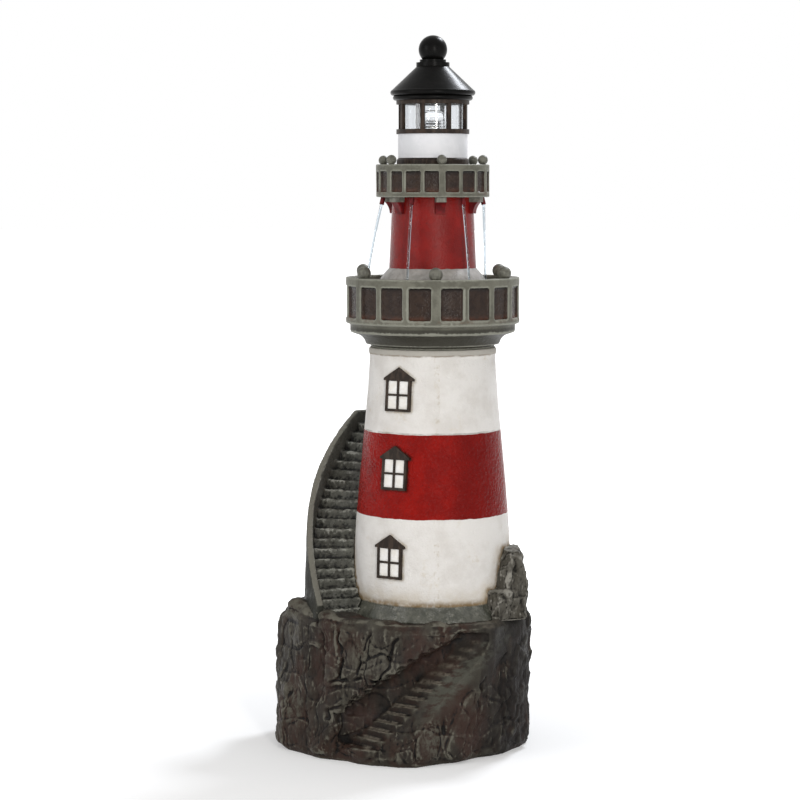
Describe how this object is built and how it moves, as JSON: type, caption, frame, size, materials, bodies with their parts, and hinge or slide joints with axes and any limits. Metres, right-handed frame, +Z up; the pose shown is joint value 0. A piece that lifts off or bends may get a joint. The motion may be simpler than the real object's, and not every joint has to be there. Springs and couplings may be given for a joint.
{
  "type": "lighthouse fountain",
  "caption": "Garden fountain shaped as a lighthouse on a rock base, with a pump that lifts water to a trough under the lit lantern and lets it fall from spouts to a lower basin.",
  "frame": {"origin": "on the tower axis, at the floor that the rock base stands on", "axes": "+Z up along the tower axis, -Y towards the front with the carved stair, +X to the right seen from the front"},
  "size_m": [0.3687, 0.3394, 1.0111],
  "materials": {
    "rock": "rough cast resin, dark stone paint with dry-brushed highlights",
    "stair_stone": "rough cast resin, charcoal stone paint",
    "tower_paint": "cast resin, white plaster paint with a red band",
    "white_paint": "cast resin, smooth white paint",
    "brown_trim": "cast resin, dark bronze-brown paint",
    "gallery_stone": "cast resin, grey-green stone paint with brown panels",
    "red_paint": "cast resin, deep red paint on a leathery skin",
    "black_paint": "cast resin, black satin paint",
    "clear_acrylic": "clear acrylic",
    "lamp_plastic": "white moulded plastic",
    "circuit_board": "white solder mask",
    "pump_plastic": "black moulded plastic",
    "impeller_plastic": "grey moulded plastic",
    "pipe_plastic": "grey rigid pipe",
    "seal_rubber": "moulded black rubber",
    "shaft_ceramic": "ground ceramic",
    "steel": "zinc-plated steel"
  },
  "bodies": {
    "base": {"rock_base": "rock", "cord_gland": "seal_rubber", "tower_shell": "tower_paint", "tower_bolts": "steel", "side_stair": "stair_stone", "boulder": "rock", "window_frame_upper": "brown_trim", "window_frame_middle": "brown_trim", "window_frame_lower": "brown_trim", "window_panes": "white_paint", "door_frame": "brown_trim", "door_leaf": "brown_trim", "suction_cups": "seal_rubber", "pump_housing": "pump_plastic", "outlet_nipple": "pump_plastic", "rotor_shaft": "shaft_ceramic", "pump_cover": "pump_plastic", "riser_pipe": "pipe_plastic"},
    "crown": {"lower_gallery": "gallery_stone", "lower_balls": "gallery_stone", "upper_tower": "red_paint", "gallery_brackets": "red_paint", "upper_gallery": "gallery_stone", "upper_balls": "gallery_stone", "water_spouts": "red_paint", "riser_upper": "pipe_plastic", "feed_manifold": "pipe_plastic", "drum_foot_ring": "brown_trim", "lantern_drum": "white_paint", "lantern_frame": "brown_trim", "lantern_glazing": "clear_acrylic", "lamp_base": "lamp_plastic", "led_board": "circuit_board", "lamp_lens": "clear_acrylic"},
    "roof": {"roof_cone": "black_paint", "finial_ball": "black_paint", "finial_screw": "steel"},
    "access_panel": {"access_panel": "rock", "panel_gasket": "seal_rubber"},
    "strainer": {"pump_strainer": "pump_plastic"},
    "flow_dial": {"flow_dial": "pump_plastic"},
    "impeller": {"impeller": "impeller_plastic"}
  },
  "joints": [
    {"name": "crown_lift", "type": "slide", "parent": "base", "child": "crown", "axis": [0, 0, 1], "range_m": [0, 0.06]},
    {"name": "roof_lift", "type": "slide", "parent": "crown", "child": "roof", "axis": [0, 0, 1], "range_m": [0, 0.05]},
    {"name": "panel_pull", "type": "slide", "parent": "base", "child": "access_panel", "axis": [0, 1, 0], "range_m": [0, 0.08]},
    {"name": "strainer_pull", "type": "slide", "parent": "base", "child": "strainer", "axis": [0, 1, 0], "range_m": [0, 0.03]},
    {"name": "dial_turn", "type": "hinge", "parent": "strainer", "child": "flow_dial", "pos_m": [0.0125, 0.037, 0.038], "axis": [0, 1, 0], "range_deg": [0, 90]},
    {"name": "impeller_spin", "type": "hinge", "parent": "base", "child": "impeller", "pos_m": [0, 0, 0.038], "axis": [0, 1, 0], "continuous": true}
  ]
}
